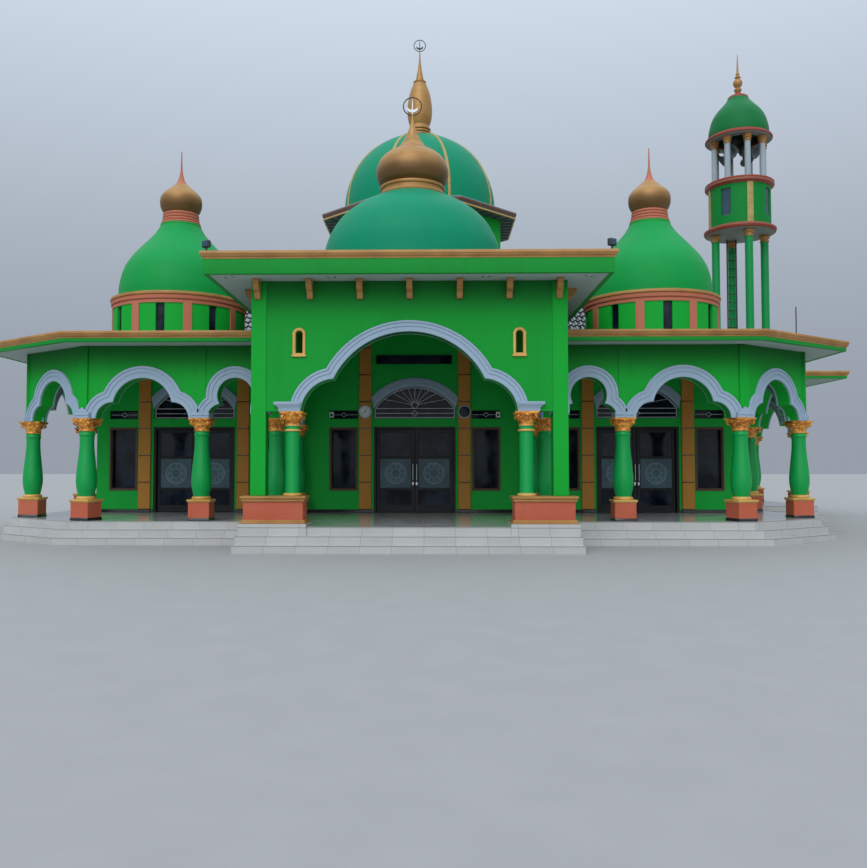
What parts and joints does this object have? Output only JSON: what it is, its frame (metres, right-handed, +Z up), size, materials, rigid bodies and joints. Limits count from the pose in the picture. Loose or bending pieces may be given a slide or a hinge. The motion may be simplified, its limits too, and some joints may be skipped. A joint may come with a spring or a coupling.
{
  "type": "domed mosque building",
  "caption": "Domed mosque with a hipped-roof prayer hall, entrance portico, arcaded verandas, a side porch, a minaret and hinged double doors.",
  "frame": {"origin": "ground level under the centre of the great dome, on the flat underside of the podium", "axes": "+X to the right of a visitor facing the entrance front, +Y from that front into the building, +Z up"},
  "size_m": [22.79, 23.3, 16.84],
  "materials": {
    "green_plaster": "bright green paint on plastered brickwork",
    "green_column": "glossy green paint on cast columns, orange pedestals and capitals",
    "salmon_plaster": "salmon orange paint on plaster, with a green column",
    "white_plaster": "white paint on concrete",
    "roof_slab": "green painted edge with a gold cornice, white underside",
    "floor_tile": "glossy pale grey floor tiles",
    "roof_tile": "dark glazed roof tiles",
    "teal_dome": "glossy teal green dome with gold ribs",
    "green_dome": "satin green dome with a bronze-gold finial",
    "bronze_paint": "bronze-gold paint",
    "black_frame": "black coated aluminium",
    "door_leaf": "black framed dark glass",
    "window_glass": "dark window glass"
  },
  "bodies": {
    "building": {"podium": "floor_tile", "front_wall_1": "green_plaster", "front_wall_2": "green_plaster", "front_wall_3": "green_plaster", "front_wall_4": "green_plaster", "front_wall_over_doors": "green_plaster", "right_side_wall": "green_plaster", "left_side_wall": "green_plaster", "back_wall": "green_plaster", "front_window_glass": "window_glass", "right_window_glass": "window_glass", "left_window_glass": "window_glass", "back_window_glass": "window_glass", "left_door_frame": "black_frame", "main_door_frame": "black_frame", "right_door_frame": "black_frame", "tile_roof": "roof_tile", "great_drum": "green_plaster", "great_dome": "teal_dome", "great_finial": "bronze_paint", "portico_front_wall": "green_plaster", "right_portico_side_wall": "green_plaster", "left_portico_side_wall": "green_plaster", "right_portico_pier": "salmon_plaster", "left_portico_pier": "salmon_plaster", "portico_canopy": "roof_slab", "front_dome": "teal_dome", "front_finial": "bronze_paint", "right_arcade_wall": "green_plaster", "left_arcade_wall": "green_plaster", "right_inner_column": "green_column", "right_middle_column": "green_column", "right_corner_column": "green_column", "right_side_column": "green_column", "right_rear_column": "green_column", "left_inner_column": "green_column", "left_middle_column": "green_column", "left_corner_column": "green_column", "left_side_column": "green_column", "left_rear_column": "green_column", "right_veranda_roof": "roof_slab", "left_veranda_roof": "roof_slab", "right_veranda_drum": "green_plaster", "left_veranda_drum": "green_plaster", "right_veranda_dome": "green_dome", "left_veranda_dome": "green_dome", "porch_arcade": "green_plaster", "porch_roof": "roof_slab", "minaret_legs": "green_plaster", "minaret_room": "green_plaster", "minaret_belfry": "white_plaster", "minaret_dome": "green_dome"},
    "left_door_left": {"left_door_left_leaf": "door_leaf"},
    "left_door_right": {"left_door_right_leaf": "door_leaf"},
    "main_door_left": {"main_door_left_leaf": "door_leaf"},
    "main_door_right": {"main_door_right_leaf": "door_leaf"},
    "right_door_left": {"right_door_left_leaf": "door_leaf"},
    "right_door_right": {"right_door_right_leaf": "door_leaf"}
  },
  "joints": [
    {"name": "left_door_left_hinge", "type": "hinge", "parent": "building", "child": "left_door_left", "pos_m": [-6.6675, -7.94, 0.475], "axis": [0, 0, 1], "range_deg": [0, 90]},
    {"name": "left_door_right_hinge", "type": "hinge", "parent": "building", "child": "left_door_right", "pos_m": [-4.6925, -7.94, 0.475], "axis": [0, 0, -1], "range_deg": [0, 90]},
    {"name": "main_door_left_hinge", "type": "hinge", "parent": "building", "child": "main_door_left", "pos_m": [-0.9875, -7.94, 0.475], "axis": [0, 0, 1], "range_deg": [0, 90]},
    {"name": "main_door_right_hinge", "type": "hinge", "parent": "building", "child": "main_door_right", "pos_m": [0.9875, -7.94, 0.475], "axis": [0, 0, -1], "range_deg": [0, 90]},
    {"name": "right_door_left_hinge", "type": "hinge", "parent": "building", "child": "right_door_left", "pos_m": [4.6925, -7.94, 0.475], "axis": [0, 0, 1], "range_deg": [0, 90]},
    {"name": "right_door_right_hinge", "type": "hinge", "parent": "building", "child": "right_door_right", "pos_m": [6.6675, -7.94, 0.475], "axis": [0, 0, -1], "range_deg": [0, 90]}
  ]
}
